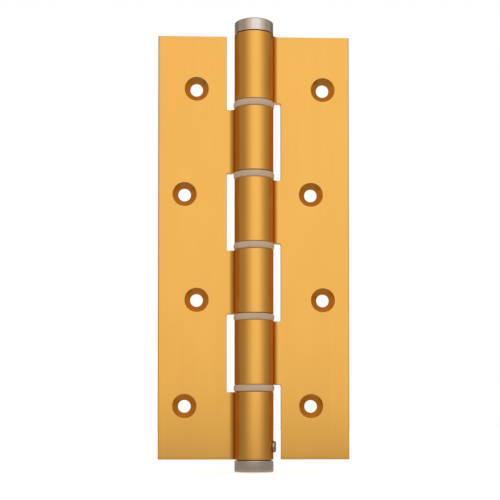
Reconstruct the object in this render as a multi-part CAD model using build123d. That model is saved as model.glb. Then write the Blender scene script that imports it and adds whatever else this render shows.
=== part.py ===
from build123d import *
import os
from math import ceil, radians, tan

# A single-action spring hinge of extruded aluminium, open flat. The pivot axis is the Z axis
# and the origin lies halfway up it. The countersunk faces look along -Y, the frame leaf
# reaches along +X and the door leaf along -X. Lengths are millimetres. Angles are degrees,
# counted from +X towards +Y, so that -90 is the side that the countersunk faces look to.

# Leaves
leaf_height = 180.0
leaf_reach = 40.6
leaf_thickness = 3.0
leaf_setback = 1.25
leaf_edge_radius = 0.4
front_fillet = 2.5
back_fillet = 1.0

# Knuckles
knuckle_count = 6
barrel_radius = 8.25
notch_reach = 11.5
notch_corner_radius = 0.6

# Countersunk screw holes, one column far from the pivot axis and one nearer, in turn
screw_hole_radius = 2.7
countersink_radius = 5.1
countersink_angle = 90.0
outer_column = 29.4
inner_column = 24.3
screw_pitch = 45.0
screw_rows = 4

# Nylon washers between the knuckles
washer_thickness = 3.0
washer_radius = 8.65
axial_play = 0.1

# Pivot tube, pressed in the frame leaf's knuckles and running in the door leaf's
tube_radius = 5.95
tube_wall = 0.85
tube_end_gap = 0.2
running_clearance = 0.06

# End caps with their spigots
cap_radius = 8.25
cap_height = 5.5
cap_end_chamfer = 0.5
spigot_length = 13.0

# Hexagon socket for the tensioning key, in the end of the lower cap
socket_across_flats = 8.0
socket_depth = 6.3

# Stop pin, its row of holes in the adjuster, and the anchor pin
pin_radius = 1.5
pin_clearance = 0.05
pin_head_radius = 2.5
pin_head_thickness = 1.0
pin_head_chamfer = 0.3
pin_height = 5.5
pin_depth = 2.0
pin_hole_bottom = 0.1
stop_pin_angle = -12.0
stop_hole_count = 6
anchor_pin_angle = 90.0
anchor_pin_recess = 0.15

# Spindle
spindle_radius = 2.4
spindle_head_radius = 3.7
spindle_head_height = 1.5
spindle_head_recess = 0.1
spindle_clearance = 0.1

# Torsion spring of rectangular wire, its coil drawn with flat faces, some chords to a turn
wire_width = 1.4
wire_height = 3.6
spring_radius = 3.95
spring_whole_turns = 26
spring_chords = 9
spring_end_gap = 0.3
tang_length = 4.3
tang_width = 1.8
tang_thinning = 0.1
tang_clearance = 0.1
lower_tang_angle = 3.0
upper_tang_angle = 153.0

knuckle_pitch = leaf_height / knuckle_count
knuckle_gap = washer_thickness + axial_play
leaf_top = leaf_height / 2
frame_bore = tube_radius
door_bore = tube_radius + running_clearance
spigot_end = leaf_top - spigot_length
spring_bottom = spring_end_gap - spigot_end
pin_level = leaf_top - pin_height
cap_end = leaf_top + cap_height
socket_floor = cap_end - socket_depth
upper_head_end = cap_end - spindle_head_recess
lower_head_seat = socket_floor + spindle_clearance


def turned(points):
    """The ring or rod that an outline of (radius, height) points sweeps round the pivot axis."""
    return revolve(Plane.XZ * make_face(Polyline(*points, close=True)), Axis.Z)


def radial_rod(radius, inner, outer, angle, height):
    """A rod square to the pivot axis, reaching from one distance from that axis to another."""
    rod = Cylinder(radius, outer - inner, align=(Align.CENTER, Align.CENTER, Align.MIN))
    return Pos(0, 0, height) * Rot(0, 0, angle) * Rot(0, 90, 0) * Pos(0, 0, inner) * rod


def flip(shape):
    """A shape turned half a turn about Y: the other leaf, or the other end of the barrel."""
    return Rot(0, 180, 0) * shape


def knuckle_span(number):
    """Lower and upper end of a knuckle, counted from 1 at the top of the hinge."""
    upper = leaf_top - (number - 1) * knuckle_pitch
    lower = upper - knuckle_pitch
    if number > 1:
        upper -= knuckle_gap / 2
    if number < knuckle_count:
        lower += knuckle_gap / 2
    return lower, upper


def leaf_section():
    """Cross-section of the extrusion: barrel, plate, and the fillets between them."""
    plate = Pos(leaf_reach / 2, leaf_setback + leaf_thickness / 2) * Rectangle(leaf_reach, leaf_thickness)
    section = Circle(barrel_radius) + plate
    inner = section.vertices().filter_by_position(Axis.X, barrel_radius / 2, barrel_radius)
    section = fillet(inner.sort_by(Axis.Y)[0], front_fillet)
    inner = section.vertices().filter_by_position(Axis.Y, leaf_setback + leaf_thickness - 0.01,
                                                  leaf_setback + leaf_thickness + 0.01)
    section = fillet(inner.sort_by(Axis.X)[0], back_fillet)
    outer = section.vertices().filter_by_position(Axis.X, leaf_reach - 0.01, leaf_reach + 0.01)
    return fillet(outer, leaf_edge_radius)


def notch(number):
    """The space that one leaf leaves for a knuckle of the other leaf and its washers."""
    lower, upper = knuckle_span(number)
    lower -= knuckle_gap
    upper += knuckle_gap
    outline = RectangleRounded(2 * notch_reach, upper - lower, notch_corner_radius)
    outline = Pos(0, (lower + upper) / 2) * outline
    return extrude(Plane.XZ * outline, barrel_radius + leaf_setback + leaf_thickness, both=True)


def screw_hole():
    """Cutter for one countersunk hole, its axis through the origin along Y."""
    sink_depth = (countersink_radius - screw_hole_radius) / tan(radians(countersink_angle / 2))
    on_face = (Align.CENTER, Align.CENTER, Align.MIN)
    sink = Cone(countersink_radius, screw_hole_radius, sink_depth, align=on_face)
    drill = Cylinder(screw_hole_radius, leaf_thickness, align=on_face)
    return Pos(0, leaf_setback, 0) * Rot(-90, 0, 0) * (sink + drill)


def plain_leaf(bore):
    """The leaf on +X with the odd knuckles: one extrusion, notched, bored and countersunk."""
    section = leaf_section() - Circle(bore)
    leaf = Pos(0, 0, -leaf_top) * extrude(section, leaf_height)
    for number in range(2, knuckle_count + 1, 2):
        leaf -= notch(number)
    for row in range(screw_rows):
        height = ((screw_rows - 1) / 2 - row) * screw_pitch
        column = outer_column if row % 2 == 0 else inner_column
        leaf -= Pos(column, 0, height) * screw_hole()
    return leaf


def frame_leaf():
    """The right-hand leaf, drilled at the back of knuckle 1 for the anchor pin."""
    hole = radial_rod(pin_radius, 0, barrel_radius + pin_radius, anchor_pin_angle, pin_level)
    return plain_leaf(frame_bore) - hole


def door_leaf():
    """The left-hand leaf, drilled in knuckle 6 for the stop pin."""
    radius = pin_radius + pin_clearance
    hole = radial_rod(radius, 0, barrel_radius + pin_radius, stop_pin_angle, -pin_level)
    return flip(plain_leaf(door_bore)) - hole


def washer(number):
    """Nylon washer below a knuckle, lying against the frame leaf's knuckle at that joint."""
    ring = Cylinder(washer_radius, washer_thickness)
    ring -= Cylinder(tube_radius + running_clearance, washer_thickness)
    side = -1 if number % 2 == 0 else 1
    return Pos(0, 0, leaf_top - number * knuckle_pitch + side * axial_play / 2) * ring


def pivot_tube():
    """Steel tube that the door leaf's knuckles turn on, round the spring."""
    length = 2 * (spigot_end - tube_end_gap)
    return Cylinder(tube_radius, length) - Cylinder(tube_radius - tube_wall, length)


def cap_with_spigot(spigot):
    """End cap and spigot for the top of the barrel, bored for the spindle."""
    bore = spindle_radius + spindle_clearance
    return turned([
        (bore, spigot_end), (spigot, spigot_end), (spigot, leaf_top),
        (cap_radius, leaf_top), (cap_radius, cap_end - cap_end_chamfer),
        (cap_radius - cap_end_chamfer, cap_end), (bore, cap_end),
    ])


def tang_slot(angle):
    """Cutter for the slot that takes a spring tang, at the spigot's end in the upper half."""
    across = wire_width + 2 * tang_clearance
    along = tang_width + 2 * tang_clearance
    depth = tang_length - spring_end_gap + tang_clearance
    box = Box(across, along, 2 * depth)
    return Rot(0, 0, angle) * Pos(spring_radius, 0, spigot_end) * box


def top_plug():
    """Upper cap: its spigot is pinned in knuckle 1 and holds the spring's upper tang."""
    recess = 2 * (cap_end - upper_head_end + spindle_head_height)
    plug = cap_with_spigot(frame_bore)
    plug -= Pos(0, 0, cap_end) * Cylinder(spindle_head_radius + spindle_clearance, recess)
    bottom = tube_radius - pin_depth - pin_hole_bottom
    pin_hole = radial_rod(pin_radius, bottom, cap_radius, anchor_pin_angle, pin_level)
    return plug - tang_slot(upper_tang_angle) - pin_hole


def tension_adjuster():
    """Lower cap: a key in its socket turns it, and the stop pin holds it in one of its stop holes."""
    hexagon = RegularPolygon(socket_across_flats / 2, 6, major_radius=False)
    plug = cap_with_spigot(tube_radius) - Pos(0, 0, socket_floor) * extrude(hexagon, 2 * socket_depth)
    plug = flip(plug) - flip(tang_slot(180 - lower_tang_angle))
    bottom = tube_radius - pin_depth - pin_hole_bottom
    for index in range(stop_hole_count):
        angle = stop_pin_angle + index * 360 / stop_hole_count
        plug -= radial_rod(pin_radius + pin_clearance, bottom, cap_radius, angle, -pin_level)
    return plug


def stop_pin():
    """Headed pin through knuckle 6 into one of the adjuster's stop holes."""
    shank = radial_rod(pin_radius, tube_radius - pin_depth, barrel_radius, 0, 0)
    head = radial_rod(pin_head_radius, barrel_radius, barrel_radius + pin_head_thickness, 0, 0)
    head = chamfer(head.edges().filter_by(GeomType.CIRCLE).sort_by(Axis.X)[-1], pin_head_chamfer)
    return Pos(0, 0, -pin_level) * Rot(0, 0, stop_pin_angle) * (shank + head)


def anchor_pin():
    """Plain pin, just below the surface at the back of knuckle 1."""
    tip = tube_radius - pin_depth
    outer = barrel_radius - anchor_pin_recess
    return radial_rod(pin_radius, tip, outer, anchor_pin_angle, pin_level)


def spindle():
    """Rod down the middle of the spring, with a riveted head sunk in each cap."""
    upper_seat = upper_head_end - spindle_head_height
    lower_end = lower_head_seat + spindle_head_height
    return turned([
        (0, -lower_end), (spindle_head_radius, -lower_end), (spindle_head_radius, -lower_head_seat),
        (spindle_radius, -lower_head_seat), (spindle_radius, upper_seat),
        (spindle_head_radius, upper_seat), (spindle_head_radius, upper_head_end), (0, upper_head_end),
    ])


def wire_corners(angle, height):
    """The four corners of the spring wire's section at one place along the coil."""
    inner = spring_radius - wire_width / 2
    outer = spring_radius + wire_width / 2
    half = wire_height / 2
    outline = [(inner, -half), (outer, -half), (outer, half), (inner, half)]
    return [Vector(radius, 0, height + level).rotate(Axis.Z, angle) for radius, level in outline]


def coil(turns, first):
    """Right-hand coil with flat faces, as high below the middle of the barrel as above it."""
    chords = ceil(turns * spring_chords)
    sections = []
    for index in range(chords + 1):
        share = index / chords
        angle = lower_tang_angle + share * turns * 360
        sections.append(wire_corners(angle, first * (1 - 2 * share)))
    faces = [Face(Wire.make_polygon(corners)) for corners in (sections[0], sections[-1])]
    for near, far in zip(sections, sections[1:]):
        for side in range(4):
            following = (side + 1) % 4
            quad = [near[side], near[following], far[following], far[side]]
            upright = side % 2 == 1
            pieces = [quad] if upright else [quad[:3], [quad[0], quad[2], quad[3]]]
            faces += [Face(Wire.make_polygon(piece)) for piece in pieces]
    return Solid(Shell(faces))


def torsion_spring():
    """Coil whose two tangs stand straight in the slots of the plugs."""
    first = spring_bottom + wire_height / 2
    turns = spring_whole_turns + (upper_tang_angle - lower_tang_angle) % 360 / 360
    top = first + wire_height / 2 - tang_thinning
    length = top + tang_length - spring_bottom
    tang = Box(wire_width - tang_thinning, tang_width, length, align=(Align.CENTER, Align.CENTER, Align.MAX))
    tang = Pos(spring_radius, 0, top) * tang
    lower = Rot(0, 0, lower_tang_angle) * tang
    upper = flip(Rot(0, 0, 180 - upper_tang_angle) * tang)
    return coil(turns, first) + lower + upper


nodes = {
    "frame_leaf": frame_leaf(),
    "door_leaf": door_leaf(),
    "top_plug": top_plug(),
    "tension_adjuster": tension_adjuster(),
    "stop_pin": stop_pin(),
    "anchor_pin": anchor_pin(),
    "pivot_tube": pivot_tube(),
    "spindle": spindle(),
    "torsion_spring": torsion_spring(),
}
for number in range(1, knuckle_count):
    nodes[f"washer_{number}"] = washer(number)

os.makedirs("parts", exist_ok=True)
for name, shape in nodes.items():
    export_step(shape, f"parts/{name}.step")
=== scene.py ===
# %% [markdown]
# # A gold spring hinge
#
# The real object is a spring hinge cut from one aluminium extrusion and anodised gold. Two
# leaves share a barrel of six knuckles with pale nylon washers between them, and a nickel
# plated cap closes each end. A torsion spring in the barrel shuts the door.
#
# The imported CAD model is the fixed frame: it is already the right size and in the right
# place. This lesson puts finished surfaces on it, in the same coordinates.

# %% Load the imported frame
import math

import bmesh
import bpy
import numpy as np
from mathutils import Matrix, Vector


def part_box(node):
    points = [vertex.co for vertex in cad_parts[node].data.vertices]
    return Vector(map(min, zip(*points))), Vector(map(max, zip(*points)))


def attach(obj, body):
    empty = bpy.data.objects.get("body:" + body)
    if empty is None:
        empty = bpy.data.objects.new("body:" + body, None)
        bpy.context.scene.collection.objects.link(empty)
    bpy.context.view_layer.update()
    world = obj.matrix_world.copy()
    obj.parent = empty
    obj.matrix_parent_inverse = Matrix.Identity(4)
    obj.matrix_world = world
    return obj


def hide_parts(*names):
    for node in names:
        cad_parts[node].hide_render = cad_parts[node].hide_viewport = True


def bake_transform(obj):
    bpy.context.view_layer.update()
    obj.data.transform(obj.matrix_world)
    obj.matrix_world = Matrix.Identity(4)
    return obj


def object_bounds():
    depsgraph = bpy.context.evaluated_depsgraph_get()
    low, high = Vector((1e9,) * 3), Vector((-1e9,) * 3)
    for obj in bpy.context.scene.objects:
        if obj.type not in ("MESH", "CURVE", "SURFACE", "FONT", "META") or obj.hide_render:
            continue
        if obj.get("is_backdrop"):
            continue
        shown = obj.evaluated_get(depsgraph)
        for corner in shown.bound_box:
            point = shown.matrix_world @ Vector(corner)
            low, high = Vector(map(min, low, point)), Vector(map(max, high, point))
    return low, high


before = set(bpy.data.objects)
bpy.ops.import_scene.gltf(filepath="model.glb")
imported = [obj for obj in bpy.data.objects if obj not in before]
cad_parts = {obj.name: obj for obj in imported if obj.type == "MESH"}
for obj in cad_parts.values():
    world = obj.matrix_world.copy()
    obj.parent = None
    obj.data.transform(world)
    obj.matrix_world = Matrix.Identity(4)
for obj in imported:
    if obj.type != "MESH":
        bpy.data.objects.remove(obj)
cad_low, cad_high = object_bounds()

# %% [markdown]
# ## Sizes
#
# Every surface below is worked out in millimetres round the pivot axis and turned into
# metres at the very end. Whatever the frame can say is asked from its boxes, so the surfaces
# follow it. The rest are the section sizes of the extrusion, which no box shows.

# %% Sizes in millimetres
MM = 0.001


def corners(node):
    """Lowest and highest corner of a CAD node, in millimetres."""
    return [np.array(corner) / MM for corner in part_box(node)]


leaf_high = corners("frame_leaf")[1]
LEAF_TOP = leaf_high[2]
LEAF_REACH = leaf_high[0]
BARREL = 8.25
LEAF_FRONT = 1.25
LEAF_BACK = 4.25
OUTER_ROUND = 0.4
FRONT_FILLET = 2.5
BACK_FILLET = 1.0
EDGE = 0.15
NOTCH_REACH = 11.5
NOTCH_ROUND = 0.6
CUT_LINE = NOTCH_REACH - NOTCH_ROUND
KNUCKLES = 6
KNUCKLE_PITCH = 2 * LEAF_TOP / KNUCKLES
KNUCKLE_GAP = 3.1
FRAME_BORE = 5.95
DOOR_BORE = 6.01
print(f"leaf {2 * LEAF_TOP:.1f} high, {LEAF_REACH:.1f} from the axis, barrel {2 * BARREL:.2f} across")

# %% [markdown]
# ## The camera
#
# The photograph was taken from half a metre, a little to the left, with the lens a little
# above the foot of the hinge. So the hinge is seen from below towards its top, and yet its
# sides stay upright. A tilted camera would lean them. An almost level camera whose picture
# is shifted upwards keeps them upright, which is how products are photographed.

# %% Camera
camera_data = bpy.data.cameras.new("photo_camera")
camera = bpy.data.objects.new("photo_camera", camera_data)
bpy.context.scene.collection.objects.link(camera)
bpy.context.scene.camera = camera
FOCAL_PIXELS = 1233.562
PICTURE_SIDE = 500
CENTRE_ACROSS = 249.248
CENTRE_DOWN = 390.408
camera_data.sensor_width = 36
camera_data.lens = FOCAL_PIXELS / PICTURE_SIDE * camera_data.sensor_width
camera_data.shift_x = (PICTURE_SIDE / 2 - CENTRE_ACROSS) / PICTURE_SIDE
camera_data.shift_y = (CENTRE_DOWN - PICTURE_SIDE / 2) / PICTURE_SIDE
camera_data.clip_start = 0.01
camera_data.clip_end = 50
camera.location = Vector((-21.7, -520.0, -75.36)) * MM
camera.rotation_euler = (math.radians(91.599), 0, math.radians(-2.171))
print(f"camera lens {camera_data.lens:.1f} mm, shift {camera_data.shift_x:.4f}, {camera_data.shift_y:.4f}")

# %% [markdown]
# ## From arrays to a piece
#
# A shape here is a set of patches. A patch is an array of points, an array of faces that
# name them by number, and an array that marks the points on a broken edge, in a groove or on
# a cut face. Neighbouring patches compute the same points along the border that they
# share, so merging near points sews them into one closed skin. Then the faces are turned
# outwards and shaded smooth. The weighted normals keep flat faces flat and spend the
# whole turn of an edge on its narrow rounded band. The third array becomes an attribute,
# which the edge wear reads later, and which puts painted shade into the grooves and cut faces.

# %% Patch helpers


def lattice(rows, columns):
    """Four-sided faces between neighbouring rows and columns of a (rows, columns) array of points."""
    index = np.arange(rows * columns).reshape(rows, columns)
    quads = [index[:-1, :-1], index[:-1, 1:], index[1:, 1:], index[1:, :-1]]
    return np.stack(quads, -1).reshape(-1, 4)


def patch(points, edge_rows=(), painted_shade_rows=()):
    """A patch from a (rows, columns, 3) array of points.

    In its third array, 1 marks its broken edges, and 3 the grooves and cut faces that get painted shade."""
    rows, columns = points.shape[:2]
    broken = np.zeros((rows, columns))
    broken[list(edge_rows)] = 1
    broken[list(painted_shade_rows)] = 3
    return points.reshape(-1, 3), lattice(rows, columns), broken.reshape(-1)


def plain(points, faces):
    """A patch from points and faces that touch no broken edge."""
    return points, faces, np.zeros(len(points))


def place(across, depth, height):
    """Points from x, y and z arrays of any matching shapes."""
    return np.stack(np.broadcast_arrays(across, depth, height), -1)


def arc(centre, radius, start, end, steps):
    """Points on a circle: the centre plus the radius times cosine and sine of evenly spaced degrees."""
    angles = np.radians(np.linspace(start, end, steps + 1))
    return np.stack([centre[0] + radius * np.cos(angles), centre[1] + radius * np.sin(angles)], 1)


def make_piece(name, patches, sharp_degrees=60):
    """Sews patches into one closed mesh with its faces outwards, in metres."""
    starts = np.cumsum([0] + [len(part[0]) for part in patches])
    points = np.concatenate([part[0] for part in patches]) * MM
    faces = [face for start, part in zip(starts, patches) for face in (part[1] + start).tolist()]
    mesh = bpy.data.meshes.new(name)
    mesh.from_pydata(points.tolist(), [], faces)
    broken = mesh.attributes.new("wear_and_shade_marks", "FLOAT", "POINT")
    broken.data.foreach_set("value", np.concatenate([part[2] for part in patches]))
    shell = bmesh.new()
    shell.from_mesh(mesh)
    bmesh.ops.remove_doubles(shell, verts=shell.verts, dist=2e-6)
    bmesh.ops.recalc_face_normals(shell, faces=shell.faces)
    open_edges = sum(not edge.is_manifold for edge in shell.edges)
    shell.to_mesh(mesh)
    shell.free()
    mesh.shade_smooth()
    mesh.set_sharp_from_angle(angle=math.radians(sharp_degrees))
    piece = bpy.data.objects.new(name, mesh)
    bpy.context.scene.collection.objects.link(piece)
    smoothing = piece.modifiers.new("flat_faces_stay_flat", "WEIGHTED_NORMAL")
    smoothing.keep_sharp = True
    print(f"{name}: {len(mesh.polygons)} faces, {open_edges} open edges")
    return piece


# %% [markdown]
# ## Holes in a surface
#
# A round hole doesn't fit in a grid of squares. A clean way is to leave out a block of
# squares round the hole and to fill the space with rings, which change step by step from the
# block's square edge to the round rim. The surface is still one sheet with two parameters,
# so the same code cuts the screw holes in a flat leaf and the bar holes in a round cap.

# %% A sheet with holes


def block_edge(first_row, last_row, first_column, last_column):
    """Row and column numbers round a block of a lattice, once round and back to the start."""
    rows = np.arange(first_row, last_row + 1)
    columns = np.arange(first_column, last_column + 1)
    row_path = [rows, np.full(len(columns), last_row), rows[::-1], np.full(len(columns), first_row)]
    column_path = [np.full(len(rows), first_column), columns, np.full(len(rows), last_column), columns[::-1]]
    around = np.stack([np.concatenate(row_path), np.concatenate(column_path)], 1)
    moved = np.any(np.diff(around, axis=0) != 0, axis=1)
    return around[np.concatenate([[True], moved])]


def sheet(us, vs, holes, rings=3):
    """A sheet over the lines us and vs, as (u, v) points with faces, and the rim of each hole.

    A hole is (u, v, radius, half_u, half_v, curve). Its block reaches half_u and half_v from its
    middle, to the nearest lines. Each ring is a weighted mean of the block's edge and of the rim,
    whose points keep their direction from the middle. On a round surface the rim's u is its
    curve radius times the arc sine of (radius times cosine, over that curve radius).
    """
    kept = np.ones((len(us) - 1, len(vs) - 1), bool)
    patches, rims = [], []
    for u, v, radius, half_u, half_v, curve in holes:
        low_u, high_u = np.abs(us - (u - half_u)).argmin(), np.abs(us - (u + half_u)).argmin()
        low_v, high_v = np.abs(vs - (v - half_v)).argmin(), np.abs(vs - (v + half_v)).argmin()
        kept[low_u:high_u, low_v:high_v] = False
        around = block_edge(low_u, high_u, low_v, high_v)
        edge = np.stack([us[around[:, 0]], vs[around[:, 1]]], 1)
        turn = np.arctan2(edge[:, 1] - v, edge[:, 0] - u)
        rim = round_rim(u, v, radius, turn, curve)
        share = np.linspace(0, 1, rings + 1)[:, None, None]
        spread = edge * (1 - share) + rim * share
        patches.append((spread.reshape(-1, 2), lattice(rings + 1, len(edge))))
        rims.append(turn)
    grid = np.stack(np.meshgrid(us, vs, indexing="ij"), -1)
    quads = lattice(len(us), len(vs))[kept.reshape(-1)]
    return [(grid.reshape(-1, 2), quads)] + patches, rims


def round_rim(u, v, radius, turn, curve):
    """Rim of a hole of that radius, as (u, v), at the directions turn from its middle."""
    across = radius * np.cos(turn)
    if curve:
        across = curve * np.arcsin(across / curve)
    return np.stack([u + across, v + radius * np.sin(turn)], 1)


def lines(*stops, step=3.0):
    """Sorted stops with evenly spaced lines between them, no further apart than step."""
    stops = sorted(stops)
    runs = [np.linspace(a, b, max(1, math.ceil((b - a) / step)) + 1)[:-1] for a, b in zip(stops, stops[1:])]
    return np.append(np.concatenate(runs), stops[-1])


# %% [markdown]
# ## The leaves
#
# A leaf is one extrusion: a barrel, a plate and the two fillets that join them. The maker
# saws it to length, mills notches for the other leaf's knuckles, drills and countersinks it,
# breaks its edges and then anodises it. Here the outline of the extrusion is carried along
# the pivot axis for each knuckle, a flat sheet with holes makes the front and the back of the
# plate, and a band with rounded edges follows the saw cuts and the notches.

# %% Outline of the extrusion

FRONT_CENTRE = (math.sqrt((BARREL + FRONT_FILLET) ** 2 - (FRONT_FILLET - LEAF_FRONT) ** 2),
                LEAF_FRONT - FRONT_FILLET)
BACK_CENTRE = (math.sqrt((BARREL + BACK_FILLET) ** 2 - (LEAF_BACK + BACK_FILLET) ** 2),
               LEAF_BACK + BACK_FILLET)
FRONT_TOUCH = math.degrees(math.atan2(FRONT_CENTRE[1], FRONT_CENTRE[0]))
BACK_TOUCH = math.degrees(math.atan2(BACK_CENTRE[1], BACK_CENTRE[0]))
FILLET_STEPS = 8
BARREL_STEPS = 96
ACROSS_STEPS = 4
HOLE_BLOCK_ANGLE = 18.75
PIN_LEVEL = 84.5
PIN_BLOCK = 2.6


def outline(inset):
    """Front, barrel and back of the section, moved inset into the metal.

    The front is a short straight and a concave arc whose radius grows by inset, the barrel an
    arc about the axis whose radius shrinks by it, and the back an arc and a straight.
    """
    cut_front = np.array([[CUT_LINE, LEAF_FRONT + inset]])
    cut_back = np.array([[CUT_LINE, LEAF_BACK - inset]])
    front = arc(FRONT_CENTRE, FRONT_FILLET + inset, 90, 180 + FRONT_TOUCH, FILLET_STEPS)
    barrel = arc((0, 0), BARREL - inset, FRONT_TOUCH, BACK_TOUCH - 360, BARREL_STEPS)
    back = arc(BACK_CENTRE, BACK_FILLET + inset, BACK_TOUCH - 180, -90, FILLET_STEPS)
    return np.concatenate([cut_front, front]), barrel, np.concatenate([back, cut_back])


def rounding(steps=2):
    """How far a rounded edge has turned: pairs of (1 - cosine, 1 - sine) from 0 to 90 degrees."""
    turn = np.linspace(0, math.pi / 2, steps + 1)
    return list(zip(1 - np.cos(turn), 1 - np.sin(turn)))


def knuckle_span(number):
    """Lower and upper end of a knuckle, counted from 1 at the top."""
    upper = LEAF_TOP - (number - 1) * KNUCKLE_PITCH - (KNUCKLE_GAP / 2 if number > 1 else 0)
    lower = LEAF_TOP - number * KNUCKLE_PITCH + (KNUCKLE_GAP / 2 if number < KNUCKLES else 0)
    return lower, upper


# %% [markdown]
# ### One knuckle
#
# The skin of a knuckle is the outline times a range of heights. Each end is closed by a flat
# face between the outline and the bore. That face is two patches: a ring round the bore, and
# the web, which is ruled from its front edge to its back edge. The bore has a hole where the
# pin crosses it, and so has the skin.

# %% Knuckles


def round_sheet(radius, first, last, steps, heights, holes=()):
    """Part of a round surface, from the angle first down to last, and the rims of its radial holes.

    A point at (u, v) lies at the angle first minus u over the radius, at the height v.
    """
    us = np.radians(first - np.linspace(first, last, steps + 1)) * radius
    reach = math.radians(HOLE_BLOCK_ANGLE) * radius
    cut = [(math.radians(first - angle) * radius, level, hole, reach, PIN_BLOCK, radius)
           for angle, level, hole in holes]
    found, rims = sheet(us, heights, cut)
    made = []
    for points, quads in found:
        turn = math.radians(first) - points[:, 0] / radius
        made.append(plain(place(radius * np.cos(turn), radius * np.sin(turn), points[:, 1]), quads))
    return made, rims


def radial_points(hole, rim, radius, surface, sunk=0.0):
    """Points of a radial hole at the rim's directions, where it meets a round surface.

    A point lies at (q, t, z) along, across and above the hole's axis, where t and z are minus the
    radius times cosine and the radius times sine, and q is the root of the surface's radius
    squared less t squared, less sunk. A surface of 0 means the flat bottom at sunk from the axis.
    """
    angle, level, _ = hole
    turn = math.radians(angle)
    across, height = -radius * np.cos(rim), radius * np.sin(rim)
    along = np.sqrt(surface**2 - across**2) - sunk if surface else np.full(len(rim), sunk)
    x = along * math.cos(turn) - across * math.sin(turn)
    y = along * math.sin(turn) + across * math.cos(turn)
    return place(x, y, level + height)


def pin_wall(pin, outer_rim, inner_rim, outer, inner):
    """Wall of a radial hole from one round surface to another."""
    rows = [radial_points(pin, outer_rim, pin[2], outer), radial_points(pin, inner_rim, pin[2], inner)]
    return patch(np.stack(rows))


def knuckle_end(level, inward, bore):
    """Rounded outer edge, flat face and rounded bore edge at one end of a knuckle.

    inward is 1 at a lower end and -1 at an upper end, the way from the end into the metal.
    """
    bands = []
    for sunk, short in rounding():
        band = np.concatenate([part[:-1] for part in outline(EDGE * sunk)[:2]] + [outline(EDGE * sunk)[2]])
        bands.append(place(band[:, 0], band[:, 1], level + inward * EDGE * short))
    front, barrel, back = outline(EDGE)
    share = np.linspace(0, 1, ACROSS_STEPS + 1)[None, :, None]
    web = front[::-1, None] * (1 - share) + back[:, None] * share
    ring = np.concatenate([barrel, web[0, -2:0:-1], barrel[:1]])
    turn = np.arctan2(ring[:, 1], ring[:, 0])
    inner = []
    for sunk, short in rounding():
        radius = bore + EDGE * short
        inner.append(place(radius * np.cos(turn), radius * np.sin(turn), level + inward * EDGE * sunk))
    face = np.stack([place(ring[:, 0], ring[:, 1], level), inner[0]])
    flat = patch(place(web[..., 0], web[..., 1], level))
    return [patch(np.stack(bands), [1]), flat, patch(face), patch(np.stack(inner), [1])], turn


def knuckle(number, heights, bore, pin):
    """All patches of one knuckle of the leaf on +X."""
    lower, upper = knuckle_span(number)
    own = heights[(heights > lower) & (heights < upper)]
    front, _, back = outline(0)
    patches = [patch(place(part[:, None, 0], part[:, None, 1], own[None])) for part in (front, back)]
    holes = [pin] if pin else []
    skin, rims = round_sheet(BARREL, FRONT_TOUCH, BACK_TOUCH - 360, BARREL_STEPS, own, holes)
    patches += skin
    low_end, turn = knuckle_end(lower, 1, bore)
    high_end, _ = knuckle_end(upper, -1, bore)
    patches += low_end + high_end
    inside, inner_rims = round_sheet(bore, FRONT_TOUCH, BACK_TOUCH - 360, BARREL_STEPS, own, holes)
    rest = turn[BARREL_STEPS:]
    patches += inside + [patch(place(bore * np.cos(rest)[:, None], bore * np.sin(rest)[:, None], own[None]))]
    if pin:
        patches.append(pin_wall(pin, rims[0], inner_rims[0], BARREL, bore))
    return patches


# %% [markdown]
# ### The plate
#
# Each notch has round corners, because an end mill cut it. The little corner that the mill
# leaves is a fan between the arc and the corner of the lattice. The countersinks are turned
# surfaces: a softly broken rim, the cone, the drilled hole, and a broken edge at the back.

# %% Plate
SCREW_HEIGHTS = (67.5, 22.5, -22.5, -67.5)
SCREW_COLUMNS = (29.4, 24.3, 29.4, 24.3)
SCREW_HOLE = 2.7
COUNTERSINK = 5.1
HOLE_BLOCK = 6.9
FRAME_KNUCKLES = (1, 3, 5)
CORNER_STEPS = 4


def plate_lines():
    """Lines across and up the plate, through the hole blocks, the notches and their corners."""
    blocks = [column + side * HOLE_BLOCK for column in sorted(set(SCREW_COLUMNS)) for side in (-1, 1)]
    across = lines(NOTCH_REACH + EDGE, LEAF_REACH - OUTER_ROUND, *blocks, step=1.6)
    stops = [-LEAF_TOP + EDGE, LEAF_TOP - EDGE]
    stops += [height + side * HOLE_BLOCK for height in SCREW_HEIGHTS for side in (-1, 1)]
    stops += [PIN_LEVEL - PIN_BLOCK, PIN_LEVEL + PIN_BLOCK]
    for number in FRAME_KNUCKLES:
        lower, upper = knuckle_span(number)
        stops += [lower + EDGE, lower - NOTCH_ROUND]
        if number > 1:
            stops += [upper - EDGE, upper + NOTCH_ROUND]
    return across, lines(*stops, step=1.6)


def notch_corner(level, inward, radius):
    """Arc of a notch's rounded corner beside a knuckle end, from the cut line to the wall."""
    start = 90 * inward
    return arc((CUT_LINE, level - inward * NOTCH_ROUND), radius, start, 0, CORNER_STEPS)


def edge_band(path, insets, depths):
    """Band along a cut: a rounded front edge, the cut face and a rounded back edge.

    A point of the rounding lies at the path plus the inset times (1 - sine), and at the front
    face plus the depth times (1 - cosine). The cut face is ruled between the two roundings.
    """
    rows = []
    for sunk, short in rounding():
        flat = path + insets * short
        rows.append(place(flat[:, 0], LEAF_FRONT + depths * sunk, flat[:, 1]))
    for share in np.linspace(0, 1, ACROSS_STEPS + 1)[1:-1]:
        depth = (LEAF_FRONT + depths) * (1 - share) + (LEAF_BACK - depths) * share
        rows.append(place(path[:, 0], depth, path[:, 1]))
    for sunk, short in rounding()[::-1]:
        flat = path + insets * short
        rows.append(place(flat[:, 0], LEAF_BACK - depths * sunk, flat[:, 1]))
    return patch(np.stack(rows), [1, -2])


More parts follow.
